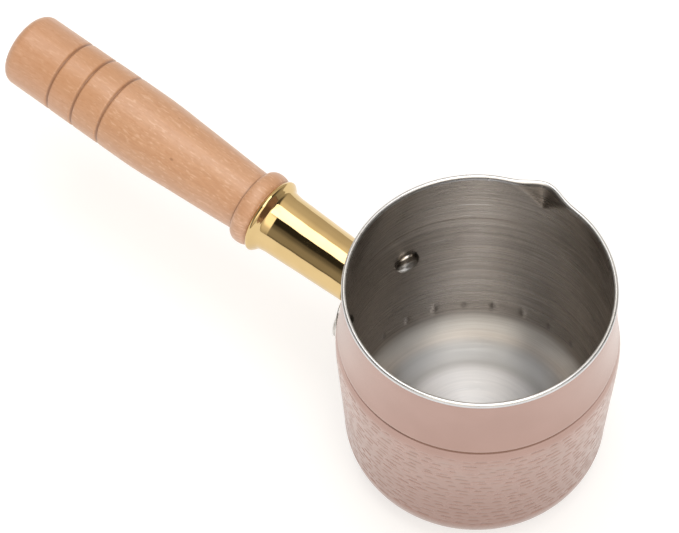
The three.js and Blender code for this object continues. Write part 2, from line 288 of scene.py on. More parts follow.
def on_radius(azimuth, height):
    """A placer for pieces turned about a line that leaves the vessel's axis at an azimuth and height."""
    a = math.radians(azimuth)
    start = np.array([0, 0, height])
    out = np.array([math.cos(a), math.sin(a), 0])
    side = np.array([-math.sin(a), math.cos(a), 0])
    up = np.array([0, 0, 1])

    def place(points):
        x, y, along = points[:, 0:1], points[:, 1:2], points[:, 2:3]
        return start + along * out + x * side + y * up

    return place


# ---------------------------------------------------------------- node helpers


class Nodes:
    """A small wrapper round the node tree of a material or world, which it empties first."""

    def __init__(self, owner):
        owner.use_nodes = True
        self.tree = owner.node_tree
        self.tree.nodes.clear()

    def feed(self, node, socket, value):
        """Links a socket into a node's input, or sets the input to a plain value."""
        if isinstance(value, bpy.types.NodeSocket):
            self.tree.links.new(value, node.inputs[socket])
        else:
            node.inputs[socket].default_value = value

    def add(self, kind, inputs=None, **settings):
        node = self.tree.nodes.new("ShaderNode" + kind)
        for key, value in settings.items():
            setattr(node, key, value)
        for key, value in (inputs or {}).items():
            self.feed(node, key, value)
        return node

    def math(self, operation, a, b=0.0):
        return self.add("Math", {0: a, 1: b}, operation=operation).outputs[0]

    def position(self):
        return self.add("TexCoord").outputs["Object"]

    def noise(self, vector, scale, detail=2.0, roughness=0.5):
        inputs = {"Vector": vector, "Scale": scale, "Detail": detail, "Roughness": roughness}
        return self.add("TexNoise", inputs).outputs[0]

    def ramp(self, value, low, high, to_low=0.0, to_high=1.0):
        inputs = {0: value, 1: low, 2: high, 3: to_low, 4: to_high}
        return self.add("MapRange", inputs, interpolation_type="SMOOTHSTEP").outputs[0]

    def mix(self, share, a, b):
        return self.add("Mix", {0: share, 6: a, 7: b}, data_type="RGBA").outputs[2]

    def bump(self, height, strength, distance, before=None):
        inputs = {"Height": height, "Strength": strength, "Distance": distance}
        if before:
            inputs["Normal"] = before
        return self.add("Bump", inputs).outputs[0]


class Surface(Nodes):
    """A material with one Principled shader."""

    def __init__(self, name):
        self.material = bpy.data.materials.new(name)
        super().__init__(self.material)
        self.shader = self.add("BsdfPrincipled")
        self.add("OutputMaterial", {0: self.shader.outputs[0]})

    def set(self, **sockets):
        """Sets the shader's own sockets; an underscore in a name stands for a space."""
        for name, value in sockets.items():
            self.feed(self.shader, name.replace("_", " "), value)


def rgb(red, green, blue):
    """A linear colour."""
    return (red, green, blue, 1.0)


def about_axis(nodes):
    """Radius, height and turn (in radians) of the shaded point about the vessel's axis, in metres."""
    x, y, height = nodes.add("SeparateXYZ", {0: nodes.position()}).outputs
    squares = nodes.math("ADD", nodes.math("MULTIPLY", x, x), nodes.math("MULTIPLY", y, y))
    return nodes.math("SQRT", squares), height, nodes.math("ARCTAN2", y, x)


def turned_lines(nodes, fineness, stretch):
    """Noise drawn out into lines that run round the vessel, on walls and floor alike."""
    radius, height, turn = about_axis(nodes)
    along = nodes.math("MULTIPLY", nodes.math("ADD", radius, height), fineness)
    around = nodes.math("MULTIPLY", nodes.math("SINE", nodes.math("MULTIPLY", turn, 0.5)), stretch)
    vector = nodes.add("CombineXYZ", {0: along, 1: around}).outputs[0]
    return nodes.noise(vector, 1.0, 3.0, 0.6)


# ---------------------------------------------------------------- materials

# Linear colours
COPPER_DEEP = rgb(0.425, 0.285, 0.248)
COPPER_PALE = rgb(0.455, 0.308, 0.27)
COPPER_GREYED = rgb(0.455, 0.345, 0.31)
# painted shade: the copper body darker low down
COPPER_LOW_SHADE = rgb(0.365, 0.235, 0.20)
# painted shade in the hammered dashes
COPPER_DASH_SHADE = rgb(0.21, 0.145, 0.115)
# painted shade along the crease line
CREASE_SHADE = rgb(0.24, 0.12, 0.085)
STEEL_DEEP = rgb(0.44, 0.405, 0.375)
STEEL_PALE = rgb(0.59, 0.54, 0.50)
STEEL_STREAK = rgb(0.80, 0.78, 0.76)
# painted reflection: the pot floor lighter and bluer than the walls
STEEL_FLOOR_LIGHT = rgb(0.67, 0.71, 0.77)
# painted shade: the darker ring at the edge of the pot floor
STEEL_EDGE_SHADE = rgb(0.32, 0.325, 0.33)
# painted highlight: the light ring in the inner corner
STEEL_CORNER_HIGHLIGHT = rgb(0.93, 0.93, 0.92)
# painted shade in the dents
STEEL_DENT_SHADE = rgb(0.16, 0.14, 0.13)
BRASS_DEEP = rgb(0.66, 0.485, 0.235)
BRASS_PALE = rgb(0.70, 0.52, 0.26)
BEECH_DEEP = rgb(0.615, 0.345, 0.20)
BEECH_PALE = rgb(0.68, 0.415, 0.285)
BEECH_YEARS = rgb(0.57, 0.30, 0.165)
BEECH_FIBRE = rgb(0.50, 0.265, 0.15)
BEECH_RAYS = rgb(0.82, 0.57, 0.41)
BEECH_PORES = rgb(0.53, 0.265, 0.135)
BEECH_KNOTS = rgb(0.30, 0.13, 0.06)
BEECH_FAR_END = rgb(0.53, 0.255, 0.12)
# darker grooves, and painted shade in the notch behind the bead
GROOVE_DARK_AND_NOTCH_SHADE = rgb(0.22, 0.10, 0.05)


def copper_plate():
    """Satin copper: greyed in the hammered band, with painted shade in its struck dashes, low down on the
    body and along the crease.
    """
    nodes = Surface("copper_plate")
    _, height, _ = about_axis(nodes)
    crease_height = CREASE_HEIGHT * MM
    lines = turned_lines(nodes, 5200, 6)
    clouds = nodes.noise(nodes.position(), 55, 3.0, 0.55)
    patches = nodes.noise(nodes.position(), 170, 3.0, 0.6)
    nearness = nodes.math("ABSOLUTE", nodes.math("SUBTRACT", height, crease_height))
    # painted shade: a dark line along the crease groove
    crease_shade = nodes.ramp(nearness, 0.0002, 0.0008, 0.6, 0.0)
    band = nodes.ramp(height, crease_height - 0.007, crease_height - 0.003, 1.0, 0.0)
    greyed = nodes.math("MULTIPLY", band, nodes.ramp(patches, 0.42, 0.68, 0.0, 0.45))
    dashes = nodes.add("Attribute", attribute_name="struck").outputs["Fac"]
    tone = nodes.mix(nodes.ramp(clouds, 0.3, 0.7), COPPER_DEEP, COPPER_PALE)
    tone = nodes.mix(greyed, tone, COPPER_GREYED)
    # painted shade: darker towards the bottom, where the body reflects the shaded floor by the pot
    tone = nodes.mix(nodes.ramp(height, 0.016, 0.052, 1.0, 0.0), tone, COPPER_LOW_SHADE)
    # painted shade in the struck dashes, darker the deeper they go
    tone = nodes.mix(nodes.ramp(dashes, 0.15, 0.9, 0.0, 0.4), tone, COPPER_DASH_SHADE)
    tone = nodes.mix(crease_shade, tone, CREASE_SHADE)
    uneven = nodes.math("MULTIPLY", band, nodes.ramp(patches, 0.3, 0.7, 0.0, 0.04))
    rough = nodes.math("ADD", nodes.ramp(lines, 0.25, 0.75, 0.25, 0.27), uneven)
    normal = nodes.bump(lines, 0.02, 0.00003)
    nodes.set(Base_Color=tone, Metallic=1.0, Roughness=rough, Normal=normal)
    nodes.set(Coat_Weight=0.2, Coat_Roughness=0.2)
    return nodes.material


def brushed_steel():
    """The inside, brushed round and round, with painted light: a lighter pot floor, a painted shade ring at
    its edge, a painted highlight ring in the corner and painted shade in the dents.
    """
    nodes = Surface("brushed_steel")
    radius, height, _ = about_axis(nodes)
    lines = turned_lines(nodes, 3300, 5)
    coarse = turned_lines(nodes, 900, 3)
    bright = nodes.ramp(turned_lines(nodes, 2100, 7), 0.58, 0.72)
    clouds = nodes.noise(nodes.position(), 70, 2.0)
    streaks = nodes.math("MULTIPLY", bright, nodes.ramp(clouds, 0.45, 0.6))
    # painted shade: a darker ring at the edge of the pot floor
    floor_edge = nodes.ramp(radius, 0.0215, 0.0262)
    edge_shade = nodes.math("MULTIPLY", floor_edge, nodes.ramp(height, 0.0022, 0.0045, 0.8, 0.0))
    # painted highlight: a light ring in the inner corner
    away = nodes.math("ABSOLUTE", nodes.math("SUBTRACT", height, CORNER_HIGHLIGHT_HEIGHT * MM))
    corner = nodes.ramp(away, 0.0004, 0.0048, 0.95, 0.0)
    corner_highlight = nodes.math("MULTIPLY", corner, nodes.ramp(lines, 0.3, 0.65, 0.7, 1.0))
    dents = nodes.add("Attribute", attribute_name="struck").outputs["Fac"]
    tone = nodes.mix(nodes.ramp(coarse, 0.3, 0.7), STEEL_DEEP, STEEL_PALE)
    tone = nodes.mix(streaks, tone, STEEL_STREAK)
    # painted reflection: the pot floor lighter and bluer than the walls
    tone = nodes.mix(nodes.ramp(height, 0.0013, 0.0045, 0.65, 0.0), tone, STEEL_FLOOR_LIGHT)
    tone = nodes.mix(edge_shade, tone, STEEL_EDGE_SHADE)
    tone = nodes.mix(corner_highlight, tone, STEEL_CORNER_HIGHLIGHT)
    # painted shade in the dents, darker the deeper they go
    tone = nodes.mix(nodes.ramp(dents, 0.1, 0.8, 0.0, 0.4), tone, STEEL_DENT_SHADE)
    fine = nodes.ramp(lines, 0.25, 0.75, 0.22, 0.34)
    rough = nodes.math("ADD", fine, nodes.ramp(clouds, 0.3, 0.7, -0.02, 0.02))
    rough = nodes.math("ADD", rough, nodes.ramp(height, 0.006, 0.014, 0.12, 0.0))
    normal = nodes.bump(lines, 0.3, 0.00006, nodes.bump(coarse, 0.08, 0.0002))
    tangent = nodes.add("Tangent", direction_type="RADIAL", axis="Z").outputs[0]
    nodes.set(Base_Color=tone, Metallic=1.0, Roughness=rough, Normal=normal, Tangent=tangent)
    nodes.set(Anisotropic=0.92, Anisotropic_Rotation=0.25)
    return nodes.material


def bright_steel(name, tone, low, high):
    """Polished steel with the faint wipe marks of buffing."""
    nodes = Surface(name)
    marks = nodes.noise(nodes.position(), 900, 4.0, 0.6)
    clouds = nodes.noise(nodes.position(), 180, 2.0)
    colour = nodes.mix(nodes.ramp(clouds, 0.3, 0.7), rgb(*[0.93 * c for c in tone]), rgb(*tone))
    rough = nodes.ramp(marks, 0.3, 0.75, low, high)
    normal = nodes.bump(marks, 0.06, 0.00005)
    nodes.set(Base_Color=colour, Metallic=1.0, Roughness=rough, Normal=normal)
    return nodes.material


def polished_brass(name="polished_brass", low=0.035, high=0.09):
    """Brass whose roughness wanders between low and high with the buffing marks."""
    nodes = Surface(name)
    marks = nodes.noise(nodes.position(), 700, 4.0, 0.6)
    clouds = nodes.noise(nodes.position(), 90, 2.0)
    tone = nodes.mix(nodes.ramp(clouds, 0.3, 0.7), BRASS_DEEP, BRASS_PALE)
    rough = nodes.ramp(marks, 0.35, 0.8, low, high)
    normal = nodes.bump(marks, 0.03, 0.00005)
    nodes.set(Base_Color=tone, Metallic=1.0, Roughness=rough, Normal=normal)
    return nodes.material


def beech():
    """Oiled beech whose grain runs along the handle, with short ray flecks, darker grooves and painted shade
    in the notch behind the bead.
    """
    nodes = Surface("beech")
    turned = nodes.add("Mapping", {"Vector": nodes.position(), "Rotation": (0, -HANDLE_RISE, 0)}).outputs[0]

    def stretched(along, across):
        return nodes.add("Mapping", {"Vector": turned, "Scale": (along, across, across)}).outputs[0]

    years = nodes.noise(stretched(14, 190), 1.0, 3.0, 0.6)
    fibre = nodes.noise(stretched(150, 1250), 1.0, 4.0, 0.65)
    rays = nodes.noise(stretched(380, 1500), 1.0, 2.0, 0.5)
    pores = nodes.noise(stretched(620, 1500), 1.0, 2.0, 0.5)
    knots = nodes.add("TexVoronoi", {"Vector": stretched(62, 110), "Scale": 1.0}).outputs[0]
    clouds = nodes.noise(turned, 30, 2.0)
    tone = nodes.mix(nodes.ramp(clouds, 0.35, 0.65), BEECH_DEEP, BEECH_PALE)
    tone = nodes.mix(nodes.ramp(years, 0.42, 0.66, 0.0, 0.5), tone, BEECH_YEARS)
    tone = nodes.mix(nodes.ramp(fibre, 0.38, 0.66, 0.45, 0.0), tone, BEECH_FIBRE)
    tone = nodes.mix(nodes.ramp(rays, 0.53, 0.72, 0.0, 0.45), tone, BEECH_RAYS)
    tone = nodes.mix(nodes.ramp(pores, 0.52, 0.72, 0.0, 0.55), tone, BEECH_PORES)
    tone = nodes.mix(nodes.ramp(knots, 0.02, 0.06, 0.7, 0.0), tone, BEECH_KNOTS)
    axis = tuple(HANDLE_DIRECTION)
    start = float(HANDLE_ORIGIN @ HANDLE_DIRECTION) * MM
    dot = nodes.add("VectorMath", {0: nodes.position(), 1: axis}, operation="DOT_PRODUCT")
    along = nodes.math("SUBTRACT", dot.outputs["Value"], start)
    tone = nodes.mix(nodes.ramp(along, 0.125, 0.165, 0.0, 0.4), tone, BEECH_FAR_END)
    # the three grooves darker, and painted shade at the notch behind the bead
    notch = COLLAR_FACE + COLLAR_LENGTH + NOTCH_GAP
    for line in [HANDLE_END - distance for distance in GROOVES_FROM_END] + [notch]:
        away = nodes.math("ABSOLUTE", nodes.math("SUBTRACT", along, line * MM))
        tone = nodes.mix(nodes.ramp(away, 0.0001, 0.0007, 0.75, 0.0), tone, GROOVE_DARK_AND_NOTCH_SHADE)
    rough = nodes.ramp(fibre, 0.3, 0.7, 0.36, 0.48)
    normal = nodes.bump(fibre, 0.25, 0.00012, nodes.bump(rays, 0.12, 0.0001))
    nodes.set(Base_Color=tone, Roughness=rough, Normal=normal, Specular_IOR_Level=0.5)
    nodes.set(Coat_Weight=0.4, Coat_Roughness=0.34)
    return nodes.material


def sweep_white():
    """The pale studio floor."""
    nodes = Surface("sweep_white")
    grain = nodes.noise(nodes.position(), 9, 2.0)
    tone = nodes.mix(grain, rgb(0.49, 0.49, 0.49), rgb(0.51, 0.51, 0.51))
    nodes.set(Base_Color=tone, Roughness=0.9, Specular_IOR_Level=0.0)
    nodes.set(Emission_Color=rgb(1, 1, 1), Emission_Strength=0.62)
    return nodes.material


# ---------------------------------------------------------------- vessel


def body_side(outwards, steps):
    """The wall from the bottom corner to the crease, moved outwards."""
    knots = [
        (FOOT_RADIUS, CORNER_RADIUS),
        ((FOOT_RADIUS + SHOULDER_RADIUS) / 2, (CORNER_RADIUS + SHOULDER_HEIGHT) / 2),
        (SHOULDER_RADIUS, SHOULDER_HEIGHT),
        (CREASE_RADIUS, CREASE_HEIGHT - CREASE_HALF_WIDTH),
    ]
    return [(r + outwards, z) for r, z in smooth(knots, steps)]


def neck_side(outwards, steps):
    """The wall from the crease to the lip, moved outwards."""
    widening = CREASE_RADIUS - NECK_RADIUS
    knots = [
        (CREASE_RADIUS, CREASE_HEIGHT + CREASE_HALF_WIDTH),
        (NECK_RADIUS + 0.6 * widening, CREASE_HEIGHT + 0.17 * CREASE_DROP),
        (NECK_RADIUS + 0.24 * widening, CREASE_HEIGHT + 0.48 * CREASE_DROP),
        (NECK_RADIUS, HEIGHT - LIP_HEIGHT),
    ]
    return [(r + outwards, z) for r, z in smooth(knots, steps)]


def crease(outwards, depth):
    """The groove between body and neck."""
    points = []
    for share in np.linspace(-1, 1, 15)[1:-1]:
        dip = depth * (1 - abs(share)) ** 1.4
        points.append((CREASE_RADIUS - dip + outwards, CREASE_HEIGHT + share * CREASE_HALF_WIDTH))
    return points


def rolled(points, share=1.0):
    """Draws the wall in softly on both sides of the groove."""
    drop = ROLL_DEPTH * share
    return [(r - drop * math.exp(-(abs(z - CREASE_HEIGHT) / ROLL_REACH) ** 1.6), z) for r, z in points]


def outside_radius(height):
    """The wall's outer radius at a height on the body; above the body, its radius at the crease."""
    side = np.array(body_side(0, 60))
    return float(np.interp(height, side[:, 1], side[:, 0]))


def press_spout(grid):
    """Pushes the pouring lip out: a V that narrows downwards to a point."""
    x, y = grid[..., 0], grid[..., 1]
    radius = np.hypot(x, y)
    size = np.clip(1 - (HEIGHT - grid[..., 2]) / SPOUT_DROP, 0, 1)
    across = np.abs(np.degrees(np.arctan2(y, x)) - SPOUT_AZIMUTH) / SPOUT_HALF_ANGLE
    across = across / np.maximum(size, 0.05)
    push = SPOUT_REACH * size * (1 - across**2) * np.exp(-SPOUT_PINCH * across**2)
    push = np.where(radius > RIM_RADIUS / 2, push, 0)
    return widened(grid, 1 + push / np.maximum(radius, 1))


def wrapped(distance):
    """A distance round the shoulder, brought to within half a turn either way."""
    return (distance + ROUND / 2) % ROUND - ROUND / 2


def strike(depth, around, height, centre, level, half_length, tilt, deep):
    """Adds one dash with round ends to the depth grid."""
    columns = np.abs(wrapped(around[0] - centre)) < half_length + DASH_REACH[0]
    lines = np.abs(height[:, 0] - level) < DASH_REACH[1]
    if not lines.any():
        return
    cut = np.ix_(lines, columns)
    along = wrapped(around[cut] - centre)
    off = height[cut] - level - tilt * along
    past = np.maximum(np.abs(along) - half_length + DASH_HALF_WIDTH, 0)
    mark = deep * np.exp(-(off**2 + past**2) / (DASH_SOFTNESS * DASH_HALF_WIDTH**2))
    depth[cut] = np.maximum(depth[cut], mark)


def hammer_marks(height, angle):
    """Depth of the struck dashes at points of the outside wall: staggered rows of short level strokes."""
    depth = np.zeros(height.shape)
    around = angle * SHOULDER_RADIUS
    top = CREASE_HEIGHT - BAND_FROM_CREASE
    bottom = CORNER_RADIUS - BAND_BELOW_CORNER
    for row in range(int((top - bottom) / ROW_PITCH) + 1):
        level = top - row * ROW_PITCH
        place = rng.uniform(0, ROW_START)
        while place < ROUND - ROW_END_GAP:
            length = rng.uniform(*DASH_LENGTH)
            centre = place + length / 2
            own = level + rng.normal(0, LEVEL_SPREAD)
            tilt = rng.normal(0, TILT_SPREAD)
            deep = DASH_DEPTH * rng.uniform(FAINTEST_DASH, 1.0)
            strike(depth, around, height, centre, own, length / 2, tilt, deep)
            if rng.random() < NICK_SHARE:
                own -= ROW_PITCH / 2
                strike(depth, around, height, centre, own, NICK_HALF_LENGTH, NICK_TILT, deep * NICK_DEPTH)
            place += length + rng.uniform(*DASH_SPACE)
    return depth


def hammer_facets(height, angle):
    """The uneven flats that the blows leave between the dashes, fading out at the crease and the foot."""
    wave = np.zeros(height.shape)
    for turns, rise in FACET_WAVES:
        wave += np.sin(turns * angle + rise * height + rng.uniform(0, 6.28))
    below_crease = np.clip((CREASE_HEIGHT - BAND_FROM_CREASE + 1 - height) / 2, 0, 1)
    above_foot = np.clip((height - 9) / 5, 0, 1)
    return FACET_DEPTH * (0.5 + wave / 8) * (below_crease * above_foot)


def dent_marks(height, angle):
    """Share of a dent's depth, 0 to 1, at points of the inside wall."""
    step = 2 * np.pi / DENT_COUNT
    turned = angle - math.radians(SPOUT_AZIMUTH + DENT_TURN)
    around = ((turned + step / 2) % step - step / 2) * (FOOT_RADIUS - WALL)
    rise = height - DENT_HEIGHT
    return np.exp(-((around / DENT_REACH[0]) ** 2) - (rise / DENT_REACH[1]) ** 2)


def vessel_outline():
    """The wall's profile in three runs from the middle of the base: up the outside, the lip, down inside."""
    flat = FOOT_RADIUS - CORNER_RADIUS
    corner = (flat, CORNER_RADIUS)
    side = resampled(body_side(-BOX_MARGIN, 80), BODY_STEP)
    side += crease(0, CREASE_DEPTH)
    side += resampled(neck_side(0, 40), NECK_STEP)
    outer = [(r, 0) for r in np.linspace(0, flat, 10)[:-1]]
    outer += arc(corner, (CORNER_RADIUS,) * 2, -90, 0, 60)[:-1]
    outer += rolled(side)

    lip_foot = HEIGHT - LIP_HEIGHT
    lip_round = (RIM_RADIUS - (NECK_RADIUS - WALL)) / 2
    lip = [(NECK_RADIUS + 0.02, lip_foot + 0.05), (RIM_RADIUS - 0.06, lip_foot + LIP_STEP * 0.6)]
    lip += [(RIM_RADIUS, lip_foot + LIP_STEP + 0.15)]
    lip += arc((RIM_RADIUS - lip_round, HEIGHT - lip_round), (lip_round,) * 2, 0, 180, 12)

    side = resampled(body_side(-WALL, 60), INSIDE_STEP)
    side += crease(-WALL, INNER_CREASE_DEPTH)
    side += resampled(neck_side(-WALL, 40), INSIDE_STEP)
    inside = rolled(side, INNER_ROLL)[::-1]
    inside += arc(corner, (CORNER_RADIUS - WALL,) * 2, 0, -90, 30)[1:]
    inside += [(r, WALL) for r in np.linspace(flat, 0, 14)[1:]]
    return outer, lip, inside


def vessel():
    """Copper side, rim and brushed inside in one closed skin, which notes how hard each point is struck."""
    outer, lip, inside = vessel_outline()
    profile = outer + lip + inside
    outer_rings = len(outer) - 1
    lip_rings = outer_rings + len(lip)
    struck = np.zeros((len(profile) - 2, VESSEL_SEGMENTS))

    def shape(grid):
        grid = press_spout(grid)
        x, y, height = grid[..., 0], grid[..., 1], grid[..., 2]
        radius = np.hypot(x, y)
        angle = np.arctan2(y, x) % (2 * np.pi)
        depth = np.zeros(radius.shape)
        band = slice(0, outer_rings)
        dashes = hammer_marks(height[band], angle[band])
        struck[band] = dashes / DASH_DEPTH
        depth[band] = dashes + hammer_facets(height[band], angle[band])
        within = slice(lip_rings, None)
        struck[within] = dent_marks(height[within], angle[within])
        depth[within] = DENT_DEPTH * struck[within]
        return widened(grid, 1 - depth / np.maximum(radius, 1))

    obj = lathe("vessel_body", profile, VESSEL_SEGMENTS, upright, shape)
    noted = obj.data.attributes.new("struck", "FLOAT", "POINT")
    noted.data.foreach_set("value", np.append(struck, [0, 0]).astype(np.float32))
    rim = bright_steel("rim_steel", (0.68, 0.69, 0.71), 0.26, 0.36)
    for look in (copper_plate(), rim, brushed_steel()):
        obj.data.materials.append(look)
    ring_of = np.repeat(np.arange(len(profile) - 3), VESSEL_SEGMENTS)
    index = np.where(ring_of < outer_rings, 0, np.where(ring_of < lip_rings, 1, 2))
    fans = np.tile([0, 2], VESSEL_SEGMENTS)
    obj.data.polygons.foreach_set("material_index", np.concatenate([index, fans]).astype(np.int32))
    return obj


# ---------------------------------------------------------------- bracket and rivets


def stadium(straight, reach):
    """A ring of (across, up) points, its upper half first: a straight middle between two half rounds."""
    right = [(straight + reach * math.cos(a), reach * math.sin(a)) for a in np.linspace(0, math.pi / 2, 20)]
    top = [(y, reach) for y in np.linspace(straight, -straight, 30)[1:-1]]
    upper = right + top + [(-y, z) for y, z in reversed(right)]
    return upper + [(y, -z) for y, z in reversed(upper[1:-1])]


def plate():
    """The saddle plate: a stadium bent round the body, with rounded edges."""
    half = PLATE_HEIGHT / 2
    straight = SHOULDER_RADIUS * math.sin(math.radians(RIVET_ANGLE)) + WING_MARGIN - half
    insets = [(half * (1 - s), 0.0) for s in np.linspace(0.02, 0.8, 8)]
    edge = arc((PLATE_EDGE, PLATE_EDGE), (PLATE_EDGE,) * 2, -90, -180, 5)
    far = PLATE_THICKNESS
    rings = insets + edge
    rings += [(inset, far - offset) for inset, offset in reversed(edge)]
    rings += [(inset, far) for inset, _ in reversed(insets)]
    vertices = []
    for inset, offset in rings:
        for y, up in stadium(straight, half - inset):
            z = RIVET_HEIGHT + up
            r = outside_radius(z) + PLATE_GAP + offset
            vertices.append((-math.sqrt(r * r - y * y), y, z))
    count = len(vertices) // len(rings)
    faces = []
    for i in range(len(rings) - 1):
        for j in range(count):
            k = (j + 1) % count
            faces.append((i * count + k, i * count + j, (i + 1) * count + j, (i + 1) * count + k))
    last = (len(rings) - 1) * count
    for j in range(count // 2):
        corners = [j, j + 1, count - 1 - j, (count - j) % count]
        strip = list(dict.fromkeys(corners))
        faces.append(tuple(strip))
        faces.append(tuple(last + corner for corner in reversed(strip)))
    return mesh_object("plate", vertices, faces)


def boss():
    """The turned boss and spigot, with a fillet where it grows out of the plate."""
    root = FERRULE_START - BOSS_DEPTH
    foot = outside_radius(HANDLE_ORIGIN[2] + 3) + PLATE_GAP + PLATE_THICKNESS - 0.1
    fillet = arc((BOSS_RADIUS + BOSS_FILLET, foot + BOSS_FILLET), (BOSS_FILLET,) * 2, -90, -180, 8)
    face = FERRULE_START - 0.3
    profile = (
        [(0, root), (BOSS_RADIUS + BOSS_FILLET, root)]
        + fillet
        + [(BOSS_RADIUS, face - 0.4), (BOSS_RADIUS - 0.12, face - 0.12), (BOSS_RADIUS - 0.4, face)]
        + [(SPIGOT_RADIUS + 0.3, face), (SPIGOT_RADIUS, face + 0.3)]
        + [(SPIGOT_RADIUS, SPIGOT_END - 0.5), (SPIGOT_RADIUS - 0.5, SPIGOT_END), (0, SPIGOT_END)]
    )
    return lathe("boss", profile, 96, on_handle)


def boolean(target, other, operation):
    """Joins other to target or cuts it away, and removes other."""
    modifier = target.modifiers.new(operation, "BOOLEAN")
    modifier.operation = operation
    modifier.object = other
    modifier.solver = "EXACT"
    bpy.context.view_layer.update()
    evaluated = target.evaluated_get(bpy.context.evaluated_depsgraph_get())
    mesh = bpy.data.meshes.new_from_object(evaluated)
    target.modifiers.clear()
    target.data = mesh
    bpy.data.objects.remove(other)


def bracket():
    """Plate and boss in one piece, with the pocket and bore for the handle screw."""
    obj = plate()
    grown = boss()
    low, high = RIVET_HEIGHT - PLATE_HEIGHT, RIVET_HEIGHT + PLATE_HEIGHT
    levels = np.linspace(low, high, 24)
    side = [(outside_radius(z) + PLATE_GAP + 0.02, z) for z in levels]
    room = lathe("room", [(0, low)] + side + [(0, high)], 360, upright)
    boolean(grown, room, "DIFFERENCE")
    boolean(obj, grown, "UNION")
    pocket_start, pocket_end = 20, SPIGOT_END - POCKET_FLOOR
    past = SPIGOT_END + 4
    pocket = [(0, pocket_start), (POCKET_RADIUS, pocket_start), (POCKET_RADIUS, pocket_end)]
    pocket += [(BORE_RADIUS, pocket_end), (BORE_RADIUS, past), (0, past)]
    boolean(obj, lathe("pocket", pocket, 96, on_handle), "DIFFERENCE")
    obj.name = "saddle_bracket"
    obj.data.shade_smooth()
    obj.data.materials.clear()
    obj.data.materials.append(bright_steel("bracket_steel", (0.70, 0.69, 0.67), 0.2, 0.34))
    return obj


def rivet(name, side):
    """A domed head inside the wall, the shank through it, and a flatter head on the wing."""
    azimuth = 180 + side * RIVET_ANGLE
    wall_outside = outside_radius(RIVET_HEIGHT)
    curve_rise = RIVET_HEAD_RADIUS**2 / (2 * (wall_outside - WALL))
    head_face = wall_outside - WALL - curve_rise - 0.05
    tail_face = wall_outside + PLATE_GAP + PLATE_THICKNESS + 0.05
    land = 0.35
    rise = RIVET_HEAD_HEIGHT - land
    dome = [
        (RIVET_HEAD_RADIUS * math.sin(a), head_face - land - rise * math.cos(a) ** 1.2)
        for a in np.linspace(0, math.pi / 2, 20)
    ]
    tail = [
        (RIVET_TAIL_RADIUS * math.cos(a), tail_face + 0.2 + (RIVET_TAIL_HEIGHT - 0.2) * math.sin(a))
        for a in np.linspace(0, math.pi / 2, 16)
    ]
    profile = (
        dome
        + [(RIVET_HEAD_RADIUS, head_face - 0.08), (RIVET_HEAD_RADIUS - 0.1, head_face)]
        + [(RIVET_SHANK_RADIUS, head_face), (RIVET_SHANK_RADIUS, tail_face)]
        + [(RIVET_TAIL_RADIUS - 0.08, tail_face), (RIVET_TAIL_RADIUS, tail_face + 0.08)]
        + tail
    )
    return lathe(name, profile, 72, on_radius(azimuth, RIVET_HEIGHT))


# ---------------------------------------------------------------- ferrule and handle


def ferrule():
    """The hollow cone with its rolled flare at the wood."""
    lip_start = FERRULE_END - FERRULE_LIP_LENGTH
    flare = FERRULE_LIP_RADIUS - FERRULE_WAIST_RADIUS
    shares = [(0.4, 0.17), (0.57, 0.5), (0.75, 0.94), (0.87, 1), (1, 0.79)]
    lip = [(FERRULE_WAIST_RADIUS, lip_start)]
    lip += [(FERRULE_WAIST_RADIUS + out * flare, lip_start + up * FERRULE_LIP_LENGTH) for up, out in shares]
    bore_near, bore_far = FERRULE_NEAR_RADIUS - FERRULE_WALL, FERRULE_WAIST_RADIUS - FERRULE_WALL
    cone = [(FERRULE_NEAR_RADIUS - 0.15, FERRULE_START), (FERRULE_NEAR_RADIUS, FERRULE_START + 0.15)]
    cone += [(FERRULE_WAIST_RADIUS, lip_start)]
    profile = (
        [(bore_near, FERRULE_START)]
        + cone[:1]
        + resampled(cone[1:], 0.5)[:-1]
        + resampled(smooth(lip, 60), 0.22)
        + [(bore_far + 0.1, FERRULE_END), (bore_far, FERRULE_END - 0.1)]
        + resampled([(bore_far, lip_start), (bore_near, FERRULE_START + 0.1)], 2)
    )

    def shape(grid):
        """The faint unevenness of a hand-buffed cone."""
        angle, along = np.arctan2(grid[..., 1], grid[..., 0]), grid[..., 2]
        wave = 0.016 * np.sin(2 * angle + along * 0.21) + 0.010 * np.sin(3 * angle - along * 0.43 + 1)
        wave += 0.006 * np.sin(5 * angle + along * 0.9 + 2)
        return widened(grid, 1 + wave / 9)

    return lathe("brass_ferrule", profile, 192, on_handle, shape)


def grip_side():
    """The grip's swelling side, from the bead to where the end rounds off."""
    swell = GRIP_RADIUS - GRIP_NECK_RADIUS
    shares = [(0.41, 0.42), (0.61, 0.69), (0.81, 0.96), (1, 1)]
    rounding_start = HANDLE_END - END_ROUNDING
    knots = [(GRIP_NECK_RADIUS, COLLAR_FACE + COLLAR_LENGTH + 0.5)]
    knots += [(GRIP_NECK_RADIUS + out * swell, COLLAR_FACE + up * FULLEST_AT) for up, out in shares]
    knots += [((GRIP_RADIUS + GRIP_END_RADIUS) / 2, (COLLAR_FACE + FULLEST_AT + rounding_start) / 2)]
    knots += [(GRIP_END_RADIUS, rounding_start)]
    return resampled(smooth(knots, 120), 0.28)


